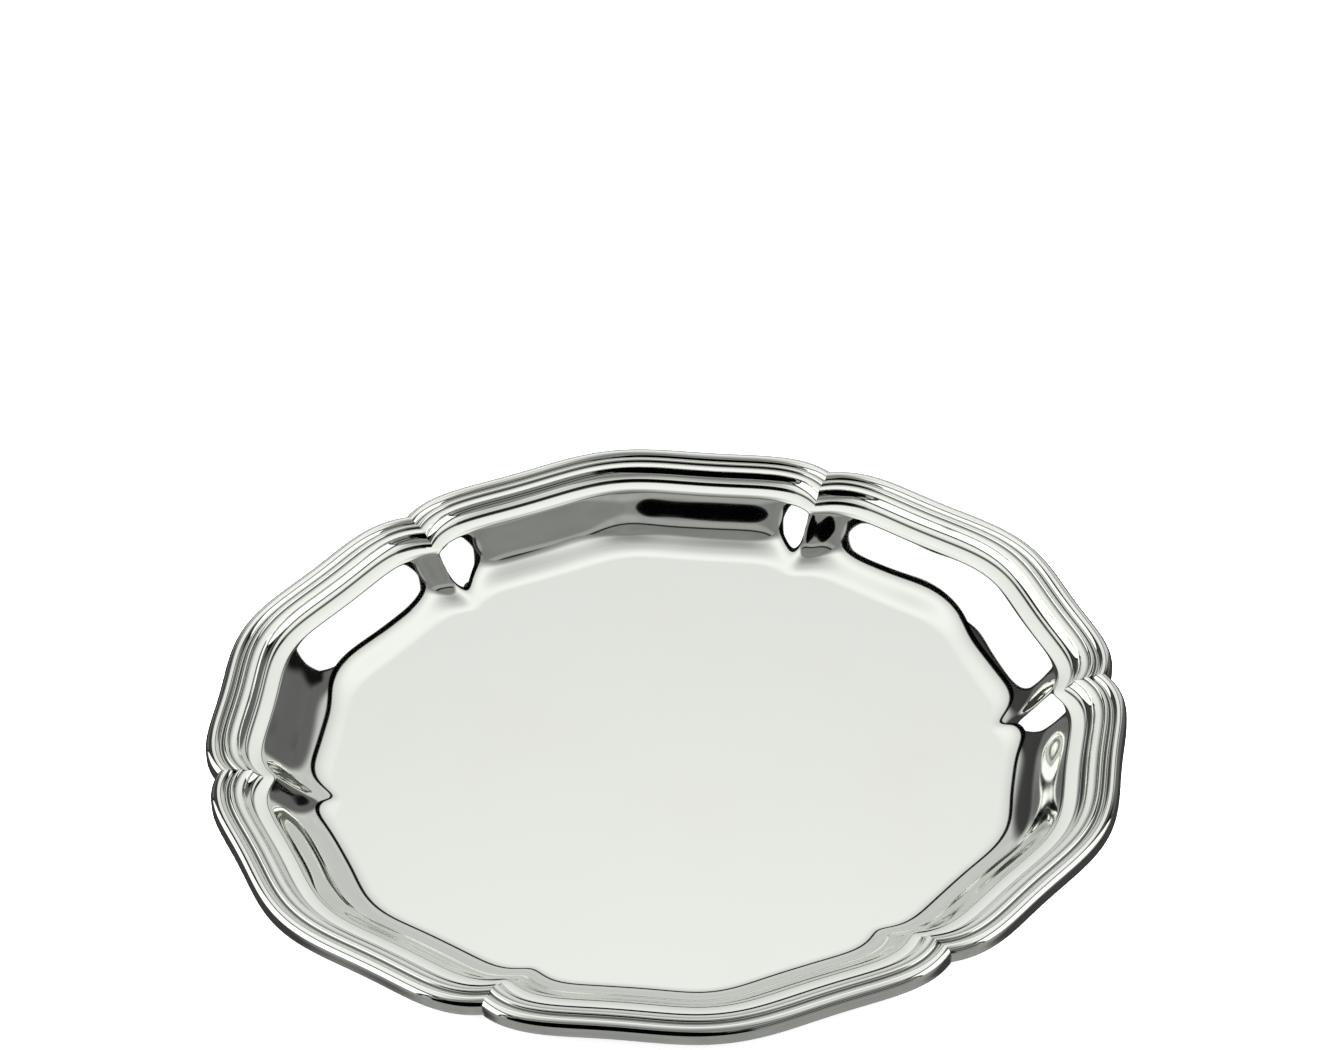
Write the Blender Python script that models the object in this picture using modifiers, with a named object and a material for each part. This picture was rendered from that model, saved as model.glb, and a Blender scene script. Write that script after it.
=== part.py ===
"""Six-lobed offering plate: one pressed silver sheet dish and the six lengths of reeded
border moulding that are soldered round its rim, mitred where the lobes meet.

Lengths are in metres. The plate lies on Z = 0, +Z is up, and the axis of the plate is Z.
A notch between two lobes lies on +X, and one more follows every 60 degrees.
"""

import math

import bmesh
import bpy

MM = 0.001

# Plan of the rim: a wavy circle with a sharp notch between each two lobes.
LOBES = 6
HALF_LOBE = math.pi / LOBES
CORNER_RADIUS = 130.0 * MM
SHOULDER_WAVE = 1.60 * MM
CORNER_WAVE = 1.84 * MM
NOTCH_DEPTH = 8.81 * MM
NOTCH_SPREAD = math.radians(8.25)

# Section through the sheet, from the rim inward.
SHEET = 1.0 * MM
FLOOR_TOP = SHEET
RIM_INSET = 0.1 * MM
RIM_TOP = 12.7 * MM
FLANGE_TOP = 11.75 * MM
FLANGE_CROWN = 0.05 * MM
LIP_INSET = 15.0 * MM
LIP_TOP = 11.6 * MM
LIP_RADIUS = 2.5 * MM
LIP_SLOPE = 5.0
WALL_ANGLE = 45.0
FOOT_RADIUS = 19.6 * MM

# The notches soften down the wall: their creases round off, and the lobes turn rounder.
FOOT_ROUNDING = math.radians(2.0)
FOOT_SOFTENING = 0.1

# Section through the border moulding, by distance inside the rim.
BORDER_WIDTH = 11.4 * MM
CREST_TOP = 16.0 * MM
OUTER_REED_RADIUS = 2.25 * MM
INNER_REED_INSET = 5.8 * MM
INNER_REED_TOP = 15.6 * MM
INNER_REED_RADIUS = 0.8 * MM
COVE_RADIUS = 3.4 * MM
COVE_STEEPEST = 75.0
COVE_SHALLOWEST = 10.0
FOOT_EDGE = 0.3 * MM

SOLDER_GAP = 0.3 * MM

HALF_LOBE_STEPS = 10
STEP_CROWDING = 1.4


def outline(from_notch):
    """Radius of the rim this far round from the nearest notch, and its change per radian."""
    from_corner = HALF_LOBE - from_notch
    notch = NOTCH_DEPTH / math.cosh(HALF_LOBE / NOTCH_SPREAD)
    middle = CORNER_RADIUS + SHOULDER_WAVE - CORNER_WAVE + notch
    radius = (
        middle
        + SHOULDER_WAVE * math.cos(LOBES * from_notch)
        + CORNER_WAVE * math.cos(2 * LOBES * from_notch)
        - notch * math.cosh(from_corner / NOTCH_SPREAD)
    )
    slope = (
        -LOBES * SHOULDER_WAVE * math.sin(LOBES * from_notch)
        - 2 * LOBES * CORNER_WAVE * math.sin(2 * LOBES * from_notch)
        + notch / NOTCH_SPREAD * math.sinh(from_corner / NOTCH_SPREAD)
    )
    return radius, slope


def ring_point(angle, inset, height, reach=0.0):
    """A point of the line that runs parallel to the rim, this far inside it.

    Lines from both sides of a notch meet on its radius, as mitred pieces do. Reach is 0 on the
    border and 1 at the foot of the wall, where the line is softest.
    """
    near = angle % (2 * HALF_LOBE)
    from_notch = min(near, 2 * HALF_LOBE - near)
    eased = min(math.hypot(from_notch, FOOT_ROUNDING * math.sqrt(reach)), HALF_LOBE)
    radius, slope = outline(eased)
    parallel = radius - inset * math.hypot(1.0, slope / radius)
    circle = CORNER_RADIUS - NOTCH_DEPTH / 4 - inset
    distance = parallel + FOOT_SOFTENING * reach * (circle - parallel)
    return distance * math.cos(angle), distance * math.sin(angle), height


def lobe_angles(first, last):
    """Angles across one lobe, crowded towards its two notches."""
    half = (last - first) / 2
    steps = range(HALF_LOBE_STEPS + 1)
    rising = [half * (step / HALF_LOBE_STEPS) ** STEP_CROWDING for step in steps]
    before = [first + distance for distance in rising]
    after = [last - distance for distance in reversed(rising[:-1])]
    return before + after


def arc(centre, radius, start, end, steps):
    """(inset, height) points on an arc about centre, between two angles in degrees."""
    points = []
    for step in range(steps + 1):
        angle = math.radians(start + (end - start) * step / steps)
        inset = centre[0] + radius * math.cos(angle)
        height = centre[1] + radius * math.sin(angle)
        points.append((inset, height))
    return points


def bow(start, end, rise, steps):
    """(inset, height) points strictly between start and end, on a shallow bow of this rise."""
    points = []
    for step in range(1, steps):
        share = step / steps
        inset = start[0] + share * (end[0] - start[0])
        height = start[1] + share * (end[1] - start[1]) + 4 * share * (1 - share) * rise
        points.append((inset, height))
    return points


def material(name, colour, roughness):
    """A polished metal."""
    made = bpy.data.materials.new(name)
    made.use_nodes = True
    shader = made.node_tree.nodes["Principled BSDF"]
    shader.inputs["Base Color"].default_value = (*colour, 1.0)
    shader.inputs["Metallic"].default_value = 1.0
    shader.inputs["Roughness"].default_value = roughness
    return made


def new_object(name, form, surface, collection):
    """Puts a finished bmesh into the collection as an object, shaded smooth up to 30 degrees."""
    mesh = bpy.data.meshes.new(name)
    form.to_mesh(mesh)
    form.free()
    mesh.shade_smooth()
    mesh.set_sharp_from_angle(angle=math.radians(30.0))
    mesh.materials.append(surface)
    made = bpy.data.objects.new(name, mesh)
    collection.objects.link(made)
    return made


def sheet_section():
    """(inset, height, reach) down the upper face of the sheet, from its rim to its floor."""
    wall = math.radians(WALL_ANGLE)
    slope = math.radians(LIP_SLOPE)
    seat = (BORDER_WIDTH - SOLDER_GAP, FLANGE_TOP)
    lip = (LIP_INSET, LIP_TOP)
    lip_middle = (lip[0] - LIP_RADIUS * math.sin(slope), lip[1] - LIP_RADIUS * math.cos(slope))
    roll = arc(lip_middle, LIP_RADIUS, 90 - LIP_SLOPE, 90 - WALL_ANGLE, 4)
    wall_top = roll[-1]
    foot_top = FLOOR_TOP + FOOT_RADIUS * (1 - math.cos(wall))
    foot_inset = wall_top[0] + (wall_top[1] - foot_top) / math.tan(wall)
    floor_inset = foot_inset + FOOT_RADIUS * math.sin(wall)
    points = [(RIM_INSET, RIM_TOP), seat, *bow(seat, lip, FLANGE_CROWN, 2), *roll]
    points += arc((floor_inset, FLOOR_TOP + FOOT_RADIUS), FOOT_RADIUS, 270 - WALL_ANGLE, 270, 6)
    span = floor_inset - BORDER_WIDTH
    return [(x, z, max(0.0, x - BORDER_WIDTH) / span) for x, z in points]


def build_dish(collection):
    """The pressed sheet: floor, flaring wall, flange, and the flat rim under the border."""
    angles = []
    for lobe in range(LOBES):
        start = 2 * HALF_LOBE * lobe
        angles += lobe_angles(start, start + 2 * HALF_LOBE)[:-1]
    form = bmesh.new()
    rings = []
    for inset, height, reach in sheet_section():
        points = [ring_point(angle, inset, height, reach) for angle in angles]
        rings.append([form.verts.new(point) for point in points])
    centre = form.verts.new((0.0, 0.0, FLOOR_TOP))
    for index in range(len(angles)):
        after = (index + 1) % len(angles)
        for outer, inner in zip(rings, rings[1:]):
            form.faces.new((outer[index], outer[after], inner[after], inner[index]))
        form.faces.new((rings[-1][index], rings[-1][after], centre))
    silver = material("plate_silver", (0.86, 0.86, 0.83), 0.10)
    dish = new_object("dish", form, silver, collection)
    thickness = dish.modifiers.new("sheet", "SOLIDIFY")
    thickness.thickness = SHEET
    thickness.offset = -1.0
    thickness.use_even_offset = True
    return dish


def border_section():
    """(inset, height) round the moulding, from the foot of its outer face over the outer reed,
    the narrow groove, the inner reed, the sloping fillet and the cove."""
    outer_middle = (OUTER_REED_RADIUS, CREST_TOP - OUTER_REED_RADIUS)
    inner_middle = (INNER_REED_INSET, INNER_REED_TOP - INNER_REED_RADIUS)
    foot = (BORDER_WIDTH, FLANGE_TOP + SOLDER_GAP + FOOT_EDGE)
    flattest = math.radians(COVE_SHALLOWEST)
    cove_middle = (
        foot[0] + COVE_RADIUS * math.sin(flattest),
        foot[1] + COVE_RADIUS * math.cos(flattest),
    )
    outer_reed = arc(outer_middle, OUTER_REED_RADIUS, 180, 30, 7)
    inner_reed = arc(inner_middle, INNER_REED_RADIUS, 172, 12, 5)
    cove = arc(cove_middle, COVE_RADIUS, 270 - COVE_STEEPEST, 270 - COVE_SHALLOWEST, 4)
    outer_foot = (0.0, RIM_TOP + SOLDER_GAP)
    inner_foot = (BORDER_WIDTH, FLANGE_TOP + SOLDER_GAP)
    return [outer_foot, *outer_reed, *inner_reed, *cove, inner_foot]


def build_border(number, collection, surface):
    """One length of moulding, from the mitre on one notch to the mitre on the next."""
    half_gap = SOLDER_GAP / 2 / CORNER_RADIUS
    first = 2 * HALF_LOBE * (number - 1) + half_gap
    last = 2 * HALF_LOBE * number - half_gap
    section = border_section()
    count = len(section)
    form = bmesh.new()
    slices = []
    for angle in lobe_angles(first, last):
        slices.append([form.verts.new(ring_point(angle, x, z)) for x, z in section])
    for before, after in zip(slices, slices[1:]):
        for index in range(count):
            following = (index + 1) % count
            corners = (before[index], after[index], after[following], before[following])
            form.faces.new(corners)
    form.faces.new(slices[0])
    form.faces.new(reversed(slices[-1]))
    bmesh.ops.triangulate(form, faces=[face for face in form.faces if len(face.verts) > 4])
    return new_object(f"border_moulding_{number}", form, surface, collection)


def main():
    for existing in list(bpy.data.objects):
        bpy.data.objects.remove(existing)
    collection = bpy.data.collections.new("offering_plate")
    bpy.context.scene.collection.children.link(collection)
    build_dish(collection)
    silver = material("border_silver", (0.88, 0.88, 0.85), 0.08)
    for number in range(1, LOBES + 1):
        build_border(number, collection, silver)


main()
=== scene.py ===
"""Looks of the six-lobed silver offering plate: fine meshes, polished silver, studio and camera."""
import math

import bmesh
import bpy
import numpy as np
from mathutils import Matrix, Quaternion, Vector


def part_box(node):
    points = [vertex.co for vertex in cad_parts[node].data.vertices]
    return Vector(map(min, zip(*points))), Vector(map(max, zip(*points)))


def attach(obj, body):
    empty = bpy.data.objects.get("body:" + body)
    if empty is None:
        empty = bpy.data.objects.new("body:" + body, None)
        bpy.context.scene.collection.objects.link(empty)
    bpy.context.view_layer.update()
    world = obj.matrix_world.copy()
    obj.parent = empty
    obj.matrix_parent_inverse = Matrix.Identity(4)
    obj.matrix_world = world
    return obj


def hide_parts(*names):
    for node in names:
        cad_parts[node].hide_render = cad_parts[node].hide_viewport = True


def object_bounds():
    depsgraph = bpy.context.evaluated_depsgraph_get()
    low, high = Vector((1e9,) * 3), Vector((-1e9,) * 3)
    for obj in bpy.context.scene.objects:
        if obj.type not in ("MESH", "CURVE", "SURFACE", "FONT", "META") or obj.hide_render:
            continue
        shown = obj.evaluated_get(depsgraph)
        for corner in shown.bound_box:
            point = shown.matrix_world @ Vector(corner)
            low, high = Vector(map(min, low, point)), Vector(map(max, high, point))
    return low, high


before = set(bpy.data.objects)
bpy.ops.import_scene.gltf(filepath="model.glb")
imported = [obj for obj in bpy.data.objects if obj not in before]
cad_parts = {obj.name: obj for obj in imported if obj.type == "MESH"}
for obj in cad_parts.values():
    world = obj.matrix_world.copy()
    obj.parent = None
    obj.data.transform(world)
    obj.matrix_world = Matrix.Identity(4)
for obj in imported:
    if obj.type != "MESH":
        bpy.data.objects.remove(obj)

MM = 0.001

# Plan of the rim, as in the CAD model.
LOBES = 6
HALF_LOBE = math.pi / LOBES
SHOULDER_WAVE = 1.60 * MM
CORNER_WAVE = 1.84 * MM
NOTCH_DEPTH = 8.81 * MM
NOTCH_SPREAD = math.radians(8.25)

# Section through the sheet, from the rim inward.
SHEET = 1.0 * MM
FLOOR_TOP = SHEET
RIM_INSET = 0.1 * MM
RIM_TOP = 12.7 * MM
FLANGE_TOP = 11.75 * MM
FLANGE_CROWN = 0.05 * MM
LIP_INSET = 15.0 * MM
LIP_TOP = 11.6 * MM
LIP_RADIUS = 2.5 * MM
LIP_SLOPE = 5.0
WALL_ANGLE = 43.5
WALL_EASE = 4.0
WALL_EASE_POWER = 1.5
FOOT_RADIUS = 18.2 * MM
FOOT_ROUNDING = math.radians(2.0)
FOOT_SOFTENING = 0.1

# Section through the border moulding, by distance inside the rim.
BORDER_WIDTH = 11.4 * MM
OUTER_REED_RADIUS = 2.25 * MM
OUTER_REED_ARC = (180, 30)
INNER_REED_INSET = 5.8 * MM
INNER_REED_TOP = 15.6 * MM
INNER_REED_RADIUS = 0.8 * MM
INNER_REED_ARC = (172, 12)
COVE_RADIUS = 3.4 * MM
COVE_STEEPEST = 75.0
COVE_SHALLOWEST = 10.0
FOOT_EDGE = 0.3 * MM
GROOVE_SAG = 0.04 * MM
FILLET_CROWN = 0.03 * MM

# Crevices darkened with painted shade, as (inset, height), and how far the painted shade reaches.
CREVICES = ((4.75 * MM, 14.85 * MM), (6.75 * MM, 14.9 * MM), (11.4 * MM, 11.95 * MM))
CREVICE_REACH = 0.38 * MM

# The solder seam as it shows, and the gap that stands in for it in the CAD model.
SEAM = 0.02 * MM
SEAT_GAP = 0.3 * MM

# How finely the meshes are drawn: steps across a lobe, how much they crowd towards its notches,
# steps along each part of the sections, and the radii of the floor's rings as shares of the floor's.
LOBE_STEPS = 96
NOTCH_CROWDING = 0.12
FLANGE_STEPS = 8
ROLL_STEPS = 12
WALL_STEPS = 16
FOOT_STEPS = 32
OUTER_REED_STEPS = 36
GROOVE_STEPS = 4
INNER_REED_STEPS = 20
FILLET_STEPS = 4
COVE_STEPS = 18
FLOOR_SHARES = (0.995, 0.98, 0.94, 0.85, 0.7, 0.5, 0.3, 0.12)

# Edges that turn by more degrees than this stay crisp. The sheet has none but its rim.
DISH_CREASE = 180
BORDER_CREASE = 28

# Reflectance of the metal where it is clean and where it is faintly tarnished, and the near-black
# painted shade put into its creases.
CLEAN_SILVER = (0.930, 0.955, 0.895, 1.0)
WARM_SILVER = (0.915, 0.935, 0.865, 1.0)
PAINTED_CREASE_SHADE = (0.022, 0.023, 0.020, 1.0)

# Noises on the metal, as features to the metre and detail: tarnish, wipe scratches, fine grain.
TARNISH_NOISE = (22.0, 3.0)
SCRATCH_NOISE = (260.0, 4.0)
GRAIN_NOISE = (2600.0, 2.0)

# The tarnish noise at which the metal turns warm, as (place, blur), and the least and most painted
# shade that the same noise leaves in a crease.
TARNISH_EDGE = (0.62, 0.4)
CREASE_SHADE_RANGE = (0.85, 1.0)

# Roughness of the metal where it is least and most scratched, and what it gains in the creases under
# the painted shade.
SHINE = (0.030, 0.070)
CREASE_ROUGHNESS = 0.20

# Relief of the scratches, and the share of it that is grain.
RELIEF_STRENGTH = 0.10
RELIEF_DEPTH = 0.01 * MM
GRAIN_SHARE = 0.4

# How the cloth went over the sheet and over the border: the stretch of its scratches on each axis.
DISH_WIPE = (1.0, 0.12, 1.0)
BORDER_WIPE = (0.5, 0.5, 1.0)

# The camera, as the photograph was taken: from the front, a little to the left, tilted slightly.
CAMERA_PLACE = Vector((-0.1279, -1.3290, 1.0934))
CAMERA_AIM = Vector((0.0136, 0.1106, 0.0))
CAMERA_ROLL = math.radians(2.685)
CAMERA_LENS = 167.24
SENSOR_WIDTH = 36.0
CLIP_END = 60.0

# The studio is described by azimuth round the plate, 0 away from the camera and 90 to its right.
STUDIO_TURN = math.radians(5.5)

# The plain pale table top, the light it gives off by itself, which keeps shadows on it faint, and
# the soft light over it.
TABLE_SIZE = 30
TABLE_PAINT = (0.9, 0.9, 0.9, 1.0)
TABLE_ROUGHNESS = 0.9
TABLE_GLOW = 0.7
WHITE = (1.0, 1.0, 1.0, 1.0)
LIGHT_STRENGTH = 12.0
LIGHT_SPREAD = 110

# Brightnesses of the studio are display levels, which this power turns into strengths of light.
DISPLAY_POWER = 2.2

# Where something in the studio starts or ends is given as (place, blur). A negative blur ends it.

# Brightness of the plain wall beyond the plate, of the dim wall on the camera's side, of the dark
# gap at the middle of that wall, and how far to each side the last two start.
FAR_WALL = 0.78
NEAR_WALL = 0.50
NEAR_WALL_START = (122, 16)
NEAR_GAP = 0.06
NEAR_GAP_START = (156, 8)

# The rail along the ceiling's edge, by degrees over that edge: its foot hangs from the first value
# straight ahead to the second at the sides.
RAIL = 0.04
RAIL_FLANK = (32, 50)
RAIL_FOOT = (-4.9, -8.2)
RAIL_TOP = -1.6
RAIL_BLUR = 1.2
RAIL_END = (118, -6)

# Soft-edged panels on the walls, in the order they are laid: brightness, azimuths, elevations, blur.
PANELS = (
    # Dark wall to the left, and its paler foot.
    (0.25, (-50, -20), (10, 60), 8),
    (0.42, (-50, -28), (-5, 12), 8),
    # Dark wall to the right, and a darker opening in it.
    (0.38, (36, 62), (-5, 60), 8),
    (0.10, (49, 62), (17, 34), 6),
    # The left window in its frame, and the right one.
    (0.10, (-119, -44.5), (-3, 90), 1),
    (1.1, (-116, -47), (0, 90), 1),
    (0.10, (58.5, 121), (5, 90), 1),
    (1.1, (61, 118), (8, 90), 1),
)

# Level bands across the camera's side: brightness, elevations, blur.
NEAR_SIDES = (118, 200)
NEAR_BANDS = (
    (0.15, (20, 28), 2),
    (0.15, (40, 46), 2),
    (0.62, (59, 65), 3),
    (0.15, (65.2, 67.8), 1),
)

# A tall black oval card beside the camera: its brightness, its middle and half size across and up,
# and its blur as a share of its size.
CARD = 0.03
CARD_MIDDLE = (19.5, 15)
CARD_SIZE = (35, 44)
CARD_BLUR = 0.05

# The ceiling's lower edge: its elevation straight ahead, and how it rises to the sides. The ceiling
# starts over that edge, and ends on the camera's side.
EDGE_AHEAD = 33.0
EDGE_RISE = 25.0
EDGE_RISE_POWER = 1.5
CEILING_START = (-1.4, 1.6)
CEILING_END = (104, 30)
ZENITH = 90.0

# Brightness of the ceiling, from its lower edge at 0 to the zenith at 1.
CEILING = (
    (0.0, 0.84),
    (0.09, 0.91),
    (0.14, 0.945),
    (0.24, 0.98),
    (0.34, 0.955),
    (0.53, 0.83),
    (0.65, 0.75),
    (0.80, 0.64),
    (1.0, 0.58),
)

# Brightness of the table as the silver sees it, beyond the plate and on the camera's side, how far
# to each side the second starts, and the horizon.
TABLE_BEYOND = 0.25
TABLE_NEAR = 0.56
TABLE_NEAR_START = (100, 30)
HORIZON = (0.0, -2.0)

# How much the studio's darker surfaces vary, how coarsely, and below which level they do.
UNEVEN = (0.88, 1.12)
UNEVEN_SCALE = 5.0
UNEVEN_BELOW = (0.8, -0.2)

# Strength of the plain backdrop that the camera itself sees past the table.
BACKDROP = 0.85


def outline(from_notch, corner_radius):
    """Radius of the rim this far round from the nearest notch, and its change per radian."""
    from_corner = HALF_LOBE - from_notch
    notch = NOTCH_DEPTH / math.cosh(HALF_LOBE / NOTCH_SPREAD)
    middle = corner_radius + SHOULDER_WAVE - CORNER_WAVE + notch
    radius = (
        middle
        + SHOULDER_WAVE * np.cos(LOBES * from_notch)
        + CORNER_WAVE * np.cos(2 * LOBES * from_notch)
        - notch * np.cosh(from_corner / NOTCH_SPREAD)
    )
    slope = (
        -LOBES * SHOULDER_WAVE * np.sin(LOBES * from_notch)
        - 2 * LOBES * CORNER_WAVE * np.sin(2 * LOBES * from_notch)
        + notch / NOTCH_SPREAD * np.sinh(from_corner / NOTCH_SPREAD)
    )
    return radius, slope


def ring(angles, inset, height, reach, corner_radius):
    """Points of the line that runs parallel to the rim, this far inside it.

    Reach is 0 on the border and 1 at the foot of the wall, where the notches are softest.
    """
    near = angles % (2 * HALF_LOBE)
    from_notch = np.minimum(near, 2 * HALF_LOBE - near)
    eased = np.minimum(np.hypot(from_notch, FOOT_ROUNDING * math.sqrt(reach)), HALF_LOBE)
    radius, slope = outline(eased, corner_radius)
    parallel = radius - inset * np.hypot(1.0, slope / radius)
    circle = corner_radius - NOTCH_DEPTH / 4 - inset
    distance = parallel + FOOT_SOFTENING * reach * (circle - parallel)
    heights = np.full_like(angles, height)
    return np.stack([distance * np.cos(angles), distance * np.sin(angles), heights], axis=-1)


def arc(centre, radius, start, end, steps):
    """(inset, height) points on an arc about centre, between two angles in degrees."""
    angles = np.radians(np.linspace(start, end, steps + 1))
    return [(centre[0] + radius * math.cos(a), centre[1] + radius * math.sin(a)) for a in angles]


def bow(start, end, rise, steps):
    """(inset, height) points strictly between start and end, on a shallow bow of this rise."""
    points = []
    for share in np.linspace(0, 1, steps + 1)[1:-1]:
        inset = start[0] + share * (end[0] - start[0])
        height = start[1] + share * (end[1] - start[1]) + 4 * share * (1 - share) * rise
        points.append((inset, height))
    return points


def lobe_angles(first, last):
    """Angles across one lobe, a little closer together at its two notches."""
    share = np.linspace(0, 1, LOBE_STEPS + 1)
    return first + (last - first) * (share - NOTCH_CROWDING * np.sin(2 * math.pi * share) / math.pi)


def painted_crease_shade(inset, height):
    """How dark the painted crease shade is at a point of the section, from 0 to 1."""
    apart = min(math.hypot(inset - x, height - z) for x, z in CREVICES)
    return math.exp(-((apart / CREVICE_REACH) ** 4))


def finish_mesh(form, name, surface, sharp):
    """Turns a bmesh into an object whose faces point outward, shaded smooth up to an angle."""
    bmesh.ops.recalc_face_normals(form, faces=form.faces)
    mesh = bpy.data.meshes.new(name)
    form.to_mesh(mesh)
    form.free()
    mesh.shade_smooth()
    mesh.set_sharp_from_angle(angle=math.radians(sharp))
    mesh.materials.append(surface)
    made = bpy.data.objects.new(name, mesh)
    bpy.context.scene.collection.objects.link(made)
    return made


def wall_line(top, drop, steps):
    """(inset, height) points down the wall below top, steepest halfway down."""
    points = []
    inset, height = top
    for share in (np.arange(steps) + 0.5) / steps:
        slope = math.radians(WALL_ANGLE - WALL_EASE * abs(2 * share - 1) ** WALL_EASE_POWER)
        inset += drop / steps / math.tan(slope)
        height -= drop / steps
        points.append((inset, height))
    return points


def sheet_section():
    """(inset, height, reach) down the upper face of the sheet, from its rim to its floor."""
    eased = WALL_ANGLE - WALL_EASE
    slope = math.radians(LIP_SLOPE)
    seat = (BORDER_WIDTH - SEAT_GAP, FLANGE_TOP)
    lip = (LIP_INSET, LIP_TOP)
    lip_middle = (lip[0] - LIP_RADIUS * math.sin(slope), lip[1] - LIP_RADIUS * math.cos(slope))
    roll = arc(lip_middle, LIP_RADIUS, 90 - LIP_SLOPE, 90 - eased, ROLL_STEPS)
    foot_top = FLOOR_TOP + FOOT_RADIUS * (1 - math.cos(math.radians(eased)))
    wall = wall_line(roll[-1], roll[-1][1] - foot_top, WALL_STEPS)
    floor_inset = wall[-1][0] + FOOT_RADIUS * math.sin(math.radians(eased))
    points = [(RIM_INSET, RIM_TOP), (BORDER_WIDTH / 2, (RIM_TOP + FLANGE_TOP) / 2), seat]
    points += bow(seat, lip, FLANGE_CROWN, FLANGE_STEPS) + roll + wall
    foot_middle = (floor_inset, FLOOR_TOP + FOOT_RADIUS)
    points += arc(foot_middle, FOOT_RADIUS, 270 - eased, 270, FOOT_STEPS)[1:]
    span = floor_inset - BORDER_WIDTH
    return [(x, z, max(0.0, x - BORDER_WIDTH) / span) for x, z in points]


def build_dish(corner_radius, surface):
    """The pressed sheet, with the CAD dish's section drawn far finer."""
    starts = [2 * HALF_LOBE * lobe for lobe in range(LOBES)]
    angles = np.concatenate([lobe_angles(start, start + 2 * HALF_LOBE)[:-1] for start in starts])
    section = sheet_section()
    levels = [ring(angles, *point, corner_radius) for point in section]
    levels += [levels[-1] * (share, share, 1.0) for share in FLOOR_SHARES]
    # Painted shade: each ring carries how dark its creases are painted, and the floor rings get none.
    painted_shades = [painted_crease_shade(inset, height) for inset, height, _ in section] + [0.0] * len(FLOOR_SHARES)
    form = bmesh.new()
    dark = form.verts.layers.float.new("painted_crease_shade")
    rings = [[form.verts.new(point) for point in level] for level in levels]
    for level, painted_shade in zip(rings, painted_shades):
        for vert in level:
            vert[dark] = painted_shade
    centre = form.verts.new((0.0, 0.0, FLOOR_TOP))
    for index in range(len(angles)):
        after = (index + 1) % len(angles)
        for outer, inner in zip(rings, rings[1:]):
            form.faces.new((outer[index], outer[after], inner[after], inner[index]))
        form.faces.new((rings[-1][index], rings[-1][after], centre))
    made = finish_mesh(form, "silver_dish", surface, DISH_CREASE)
    # The sheet's cut edge, which is the mesh's first ring, stays crisp.
    for edge in made.data.edges:
        edge.use_edge_sharp = max(edge.vertices) < len(angles)
    solid = made.modifiers.new("sheet", "SOLIDIFY")
    solid.thickness = SHEET
    solid.offset = -1.0
    solid.use_even_offset = True
    return made


def border_section(crest_top):
    """(inset, height) round the moulding: outer face and reed, groove, inner reed, fillet, cove."""
    outer_middle = (OUTER_REED_RADIUS, crest_top - OUTER_REED_RADIUS)
    inner_middle = (INNER_REED_INSET, INNER_REED_TOP - INNER_REED_RADIUS)
    foot = (BORDER_WIDTH, FLANGE_TOP + SEAT_GAP + FOOT_EDGE)
    flattest = math.radians(COVE_SHALLOWEST)
    cove_middle = (
        foot[0] + COVE_RADIUS * math.sin(flattest),
        foot[1] + COVE_RADIUS * math.cos(flattest),
    )
    outer_reed = arc(outer_middle, OUTER_REED_RADIUS, *OUTER_REED_ARC, OUTER_REED_STEPS)
    inner_reed = arc(inner_middle, INNER_REED_RADIUS, *INNER_REED_ARC, INNER_REED_STEPS)
    cove = arc(cove_middle, COVE_RADIUS, 270 - COVE_STEEPEST, 270 - COVE_SHALLOWEST, COVE_STEPS)
    groove = bow(outer_reed[-1], inner_reed[0], -GROOVE_SAG, GROOVE_STEPS)
    fillet = bow(inner_reed[-1], cove[0], FILLET_CROWN, FILLET_STEPS)
    outer_foot = (0.0, RIM_TOP + SEAM)
    inner_foot = (BORDER_WIDTH, FLANGE_TOP + SEAM)
    return [outer_foot, *outer_reed, *groove, *inner_reed, *fillet, *cove, inner_foot]


def build_border(number, corner_radius, crest_top, surface):
    """One length of moulding, from the mitre on one notch to the mitre on the next."""
    half_gap = SEAM / 2 / corner_radius
    angles = lobe_angles(2 * HALF_LOBE * (number - 1) + half_gap, 2 * HALF_LOBE * number - half_gap)
    section = border_section(crest_top)
    lines = [ring(angles, inset, height, 0.0, corner_radius) for inset, height in section]
    form = bmesh.new()
    dark = form.verts.layers.float.new("painted_crease_shade")
    slices = [[form.verts.new(line[step]) for line in lines] for step in range(len(angles))]
    # Painted shade: every slice carries how dark the creases of the moulding are painted.
    for verts in slices:
        for vert, (inset, height) in zip(verts, section):
            vert[dark] = painted_crease_shade(inset, height)
    for before, after in zip(slices, slices[1:]):
        for index in range(len(lines)):
            following = (index + 1) % len(lines)
            form.faces.new((before[index], after[index], after[following], before[following]))
    ends = [form.faces.new(slices[0]), form.faces.new(slices[-1])]
    bmesh.ops.triangulate(form, faces=ends)
    return finish_mesh(form, f"silver_border_{number}", surface, BORDER_CREASE)


def join(tree, value, socket):
    """Feeds a socket with a number or with another node's output."""
    if isinstance(value, bpy.types.NodeSocket):
        tree.links.new(value, socket)
    else:
        socket.default_value = value


def math_node(tree, operation, *values):
    """The output of a Math node that takes these values."""
    node = tree.nodes.new("ShaderNodeMath")
    node.operation = operation
    for value, socket in zip(values, node.inputs):
        join(tree, value, socket)
    return node.outputs[0]


def blend_node(tree, share, first, second):
    """A value that goes from first to second as share goes from 0 to 1."""
    node = tree.nodes.new("ShaderNodeMix")
    sockets = (node.inputs[0], node.inputs[2], node.inputs[3])
    for value, socket in zip((share, first, second), sockets):
        join(tree, value, socket)
    return node.outputs[0]


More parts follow.
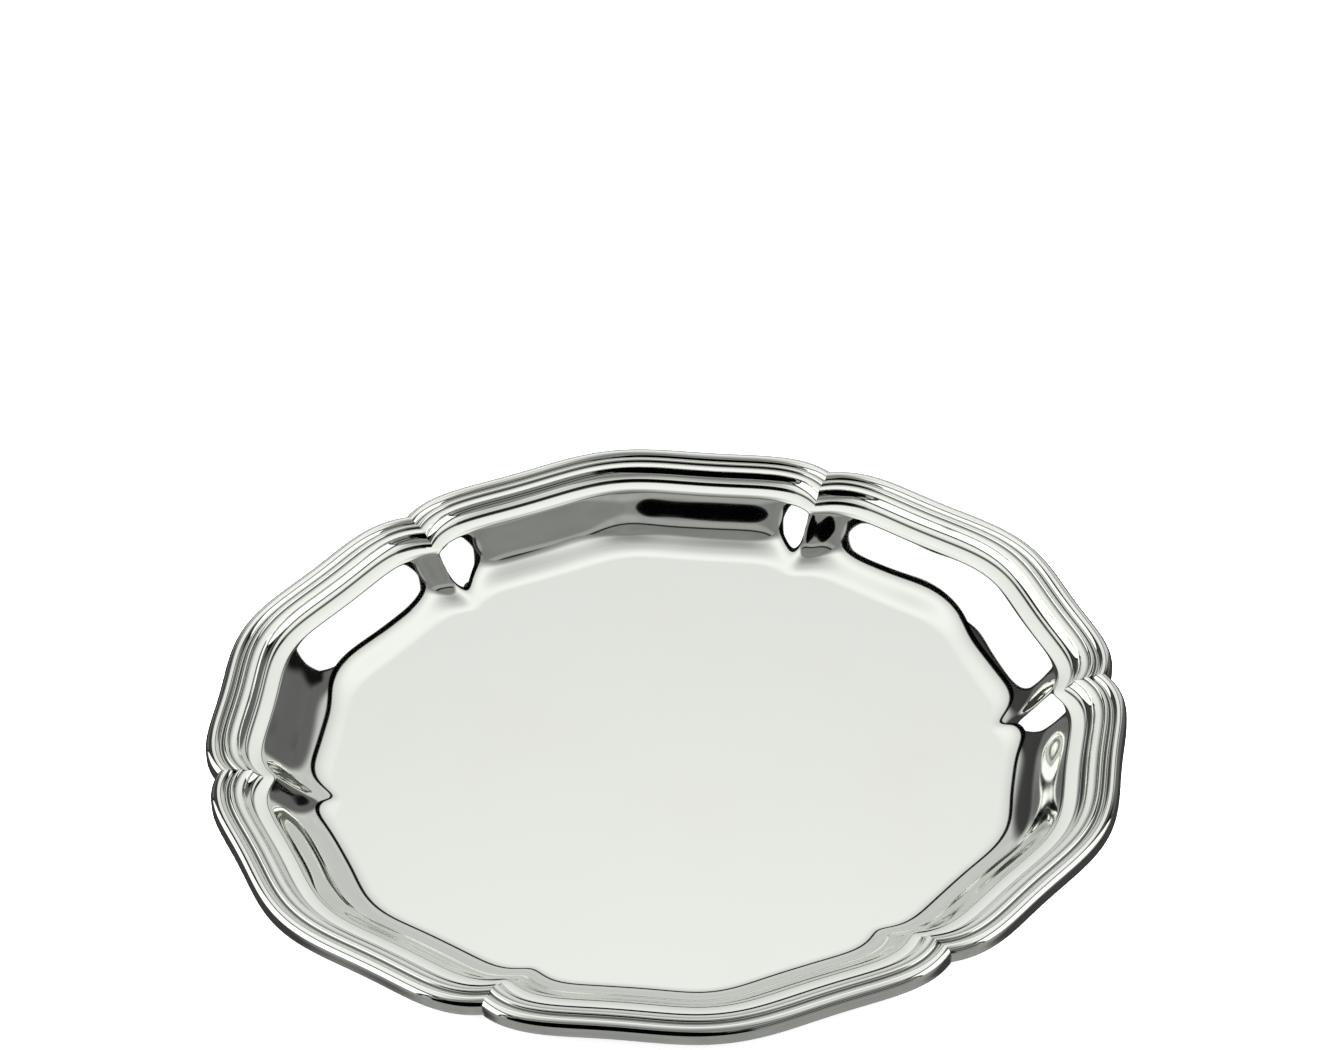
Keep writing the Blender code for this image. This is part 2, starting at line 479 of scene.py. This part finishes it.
def step_node(tree, value, edge, blur):
    """0 below the edge and 1 above it, with a soft change this wide. A negative blur turns it."""
    node = tree.nodes.new("ShaderNodeMapRange")
    node.interpolation_type = "SMOOTHSTEP"
    low = math_node(tree, "SUBTRACT", edge, blur / 2)
    high = math_node(tree, "ADD", edge, blur / 2)
    for given, name in ((value, "Value"), (low, "From Min"), (high, "From Max")):
        join(tree, given, node.inputs[name])
    return node.outputs[0]


def between_node(tree, value, low, high, blur):
    """1 between two edges and 0 outside them."""
    above = step_node(tree, value, low, blur)
    below = step_node(tree, value, high, -blur)
    return math_node(tree, "MULTIPLY", above, below)


def curve_node(tree, value, stops):
    """A value read from a smooth curve through (position, level) stops."""
    node = tree.nodes.new("ShaderNodeFloatCurve")
    points = node.mapping.curves[0].points
    for _ in stops[2:]:
        points.new(0.5, 0.5)
    for point, (position, level) in zip(points, stops):
        point.location = (position, level)
    node.mapping.update()
    join(tree, value, node.inputs["Value"])
    return node.outputs[0]


def panel(tree, level, azimuth, elevation, sides, ends, blur, shade):
    """Lays a soft-edged panel over what the studio shows so far."""
    across = between_node(tree, azimuth, *sides, blur)
    along = between_node(tree, elevation, *ends, blur)
    return blend_node(tree, math_node(tree, "MULTIPLY", across, along), level, shade)


def oval(tree, level, across, along, centre, radii, blur, shade):
    """Lays a soft-edged oval over what the studio shows so far. Its blur is a share of its size."""
    offsets = []
    for value, middle, radius in zip((across, along), centre, radii):
        apart = math_node(tree, "SUBTRACT", value, middle)
        offsets.append(math_node(tree, "POWER", math_node(tree, "DIVIDE", apart, radius), 2.0))
    inside = step_node(tree, math_node(tree, "ADD", *offsets), 1.0, -blur)
    return blend_node(tree, inside, level, shade)


def directions(tree):
    """Azimuth, elevation, and azimuth from the camera's side, of a direction, in degrees."""
    seen = tree.nodes.new("ShaderNodeTexCoord").outputs["Generated"]
    parts = tree.nodes.new("ShaderNodeSeparateXYZ")
    turned = tree.nodes.new("ShaderNodeVectorRotate")
    turned.rotation_type = "Z_AXIS"
    turned.inputs["Angle"].default_value = STUDIO_TURN
    tree.links.new(seen, turned.inputs["Vector"])
    tree.links.new(turned.outputs[0], parts.inputs[0])
    right, away, up = parts.outputs
    azimuth = math_node(tree, "DEGREES", math_node(tree, "ARCTAN2", right, away))
    elevation = math_node(tree, "DEGREES", math_node(tree, "ARCSINE", up))
    left = math_node(tree, "MULTIPLY", right, -1.0)
    near = math_node(tree, "MULTIPLY", away, -1.0)
    facing = math_node(tree, "DEGREES", math_node(tree, "ARCTAN2", left, near))
    return azimuth, elevation, facing


def ceiling_edge(tree, azimuth):
    """Elevation of the ceiling's lower edge, which is lowest straight ahead."""
    sine = math_node(tree, "SINE", math_node(tree, "RADIANS", azimuth))
    sideways = math_node(tree, "POWER", math_node(tree, "ABSOLUTE", sine), EDGE_RISE_POWER)
    return math_node(tree, "ADD", math_node(tree, "MULTIPLY", sideways, EDGE_RISE), EDGE_AHEAD)


def studio_world():
    """The room that the silver mirrors: a pale ceiling, two big windows, a dark rail, dark gaps."""
    world = bpy.data.worlds.new("studio")
    world.use_nodes = True
    tree = world.node_tree
    background = tree.nodes["Background"]
    azimuth, elevation, facing = directions(tree)
    aside = math_node(tree, "ABSOLUTE", azimuth)
    edge = ceiling_edge(tree, azimuth)
    over = math_node(tree, "SUBTRACT", elevation, edge)

    # Everything below the ceiling, starting from the plain wall beyond the plate.
    level = FAR_WALL
    for shade, sides, ends, blur in PANELS:
        level = panel(tree, level, azimuth, elevation, sides, ends, blur, shade)
    level = blend_node(tree, step_node(tree, aside, *NEAR_WALL_START), level, NEAR_WALL)
    level = blend_node(tree, step_node(tree, aside, *NEAR_GAP_START), level, NEAR_GAP)

    # The dark rail along the ceiling's edge, thinnest straight ahead.
    rail_foot = blend_node(tree, step_node(tree, aside, *RAIL_FLANK), *RAIL_FOOT)
    rail = between_node(tree, over, rail_foot, RAIL_TOP, RAIL_BLUR)
    rail = math_node(tree, "MULTIPLY", rail, step_node(tree, aside, *RAIL_END))
    level = blend_node(tree, rail, level, RAIL)

    # The ceiling is brightest a little above the rail and darkens to the zenith and behind.
    share = math_node(tree, "DIVIDE", over, math_node(tree, "SUBTRACT", ZENITH, edge))
    ceiling = curve_node(tree, share, CEILING)
    ceiling = blend_node(tree, step_node(tree, aside, *CEILING_END), ceiling, NEAR_WALL)
    level = blend_node(tree, step_node(tree, over, *CEILING_START), level, ceiling)
    for shade, ends, blur in NEAR_BANDS:
        level = panel(tree, level, aside, elevation, NEAR_SIDES, ends, blur, shade)
    level = oval(tree, level, facing, elevation, CARD_MIDDLE, CARD_SIZE, CARD_BLUR, CARD)

    # The table, as the silver sees it: dim beyond the plate and paler towards the camera.
    table = blend_node(tree, step_node(tree, aside, *TABLE_NEAR_START), TABLE_BEYOND, TABLE_NEAR)
    level = blend_node(tree, step_node(tree, elevation, *HORIZON), level, table)

    # Nothing in a room is evenly lit, so all but its brightest surfaces vary a little.
    cloud = tree.nodes.new("ShaderNodeTexNoise")
    cloud.inputs["Scale"].default_value = UNEVEN_SCALE
    uneven = blend_node(tree, cloud.outputs[0], *UNEVEN)
    dim = step_node(tree, level, *UNEVEN_BELOW)
    level = math_node(tree, "MULTIPLY", level, blend_node(tree, dim, 1.0, uneven))

    strength = math_node(tree, "POWER", level, DISPLAY_POWER)
    plain = tree.nodes.new("ShaderNodeLightPath").outputs["Is Camera Ray"]
    tree.links.new(blend_node(tree, plain, strength, BACKDROP), background.inputs["Strength"])
    background.inputs["Color"].default_value = WHITE
    bpy.context.scene.world = world


def build_table():
    """The plain pale table top, and the soft light over it. Neither shows in the silver."""
    bpy.ops.mesh.primitive_plane_add(size=TABLE_SIZE, location=(0, 0, 0))
    table = bpy.context.object
    table.name = "table_top"
    table.visible_glossy = False
    pale = bpy.data.materials.new("table_top")
    pale.use_nodes = True
    shader = pale.node_tree.nodes["Principled BSDF"]
    shader.inputs["Base Color"].default_value = TABLE_PAINT
    shader.inputs["Roughness"].default_value = TABLE_ROUGHNESS
    shader.inputs["Specular IOR Level"].default_value = 0.0
    shader.inputs["Emission Color"].default_value = WHITE
    shader.inputs["Emission Strength"].default_value = TABLE_GLOW
    table.data.materials.append(pale)
    data = bpy.data.lights.new("soft_light", "SUN")
    data.energy = LIGHT_STRENGTH
    data.angle = math.radians(LIGHT_SPREAD)
    light = bpy.data.objects.new("soft_light", data)
    light.visible_glossy = False
    bpy.context.scene.collection.objects.link(light)
    bpy.context.scene.view_settings.view_transform = "Standard"


def noise_node(tree, place, scale, detail, stretch=(1.0, 1.0, 1.0)):
    """A noise between 0 and 1, this many features to the metre, drawn out by a stretch."""
    drawn = tree.nodes.new("ShaderNodeVectorMath")
    drawn.operation = "MULTIPLY"
    drawn.inputs[1].default_value = stretch
    tree.links.new(place, drawn.inputs[0])
    noise = tree.nodes.new("ShaderNodeTexNoise")
    noise.inputs["Scale"].default_value = scale
    noise.inputs["Detail"].default_value = detail
    tree.links.new(drawn.outputs[0], noise.inputs["Vector"])
    return noise.outputs[0]


def colour_node(tree, share, first, second):
    """A colour that goes from first to second as share goes from 0 to 1."""
    node = tree.nodes.new("ShaderNodeMix")
    node.data_type = "RGBA"
    sockets = (node.inputs[0], node.inputs[6], node.inputs[7])
    for value, socket in zip((share, first, second), sockets):
        join(tree, value, socket)
    return node.outputs[2]


def polished_silver(name, wipe):
    """Bright silver with fine wipe marks, a faint cloudy warmth, and painted shade darkening its
    creases.
    """
    made = bpy.data.materials.new(name)
    made.use_nodes = True
    tree = made.node_tree
    shader = tree.nodes["Principled BSDF"]
    shader.inputs["Metallic"].default_value = 1.0
    place = tree.nodes.new("ShaderNodeTexCoord").outputs["Object"]
    tarnish = noise_node(tree, place, *TARNISH_NOISE)
    scratches = noise_node(tree, place, *SCRATCH_NOISE, wipe)
    grain = noise_node(tree, place, *GRAIN_NOISE)

    # Painted shade: the crease values darken the base colour to near black, varied by the tarnish
    # noise.
    painted_shade = tree.nodes.new("ShaderNodeAttribute")
    painted_shade.attribute_name = "painted_crease_shade"
    left = blend_node(tree, tarnish, *CREASE_SHADE_RANGE)
    patchy = math_node(tree, "MULTIPLY", painted_shade.outputs["Fac"], left)
    warm = step_node(tree, tarnish, *TARNISH_EDGE)
    metal = colour_node(tree, warm, CLEAN_SILVER, WARM_SILVER)
    tree.links.new(colour_node(tree, patchy, metal, PAINTED_CREASE_SHADE), shader.inputs["Base Color"])

    fine = blend_node(tree, scratches, *SHINE)
    worn = math_node(tree, "ADD", fine, math_node(tree, "MULTIPLY", patchy, CREASE_ROUGHNESS))
    tree.links.new(worn, shader.inputs["Roughness"])

    bump = tree.nodes.new("ShaderNodeBump")
    bump.inputs["Strength"].default_value = RELIEF_STRENGTH
    bump.inputs["Distance"].default_value = RELIEF_DEPTH
    relief = math_node(tree, "ADD", scratches, math_node(tree, "MULTIPLY", grain, GRAIN_SHARE))
    tree.links.new(relief, bump.inputs["Height"])
    tree.links.new(bump.outputs[0], shader.inputs["Normal"])
    return made


def build_camera():
    """The camera stands still at the photograph's place and leans a little to one side."""
    data = bpy.data.cameras.new("camera")
    data.sensor_width = SENSOR_WIDTH
    data.lens = CAMERA_LENS
    data.clip_end = CLIP_END
    camera = bpy.data.objects.new("camera", data)
    ahead = CAMERA_AIM - CAMERA_PLACE
    lean = Quaternion(ahead, CAMERA_ROLL)
    camera.rotation_mode = "QUATERNION"
    camera.rotation_quaternion = lean @ ahead.to_track_quat("-Z", "Y")
    camera.location = CAMERA_PLACE
    bpy.context.scene.collection.objects.link(camera)
    bpy.context.scene.camera = camera


def add_piece(piece, node):
    """Hands a finished piece over in place of its CAD node."""
    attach(piece, "root")
    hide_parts(node)


cad_low, cad_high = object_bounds()
corner_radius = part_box("border_moulding_2")[1][1]
dish_silver = polished_silver("dish_silver", DISH_WIPE)
border_silver = polished_silver("border_silver", BORDER_WIPE)
build_camera()
add_piece(build_dish(corner_radius, dish_silver), "dish")
for number in range(1, LOBES + 1):
    border = build_border(number, corner_radius, cad_high[2], border_silver)
    add_piece(border, f"border_moulding_{number}")
studio_world()
build_table()
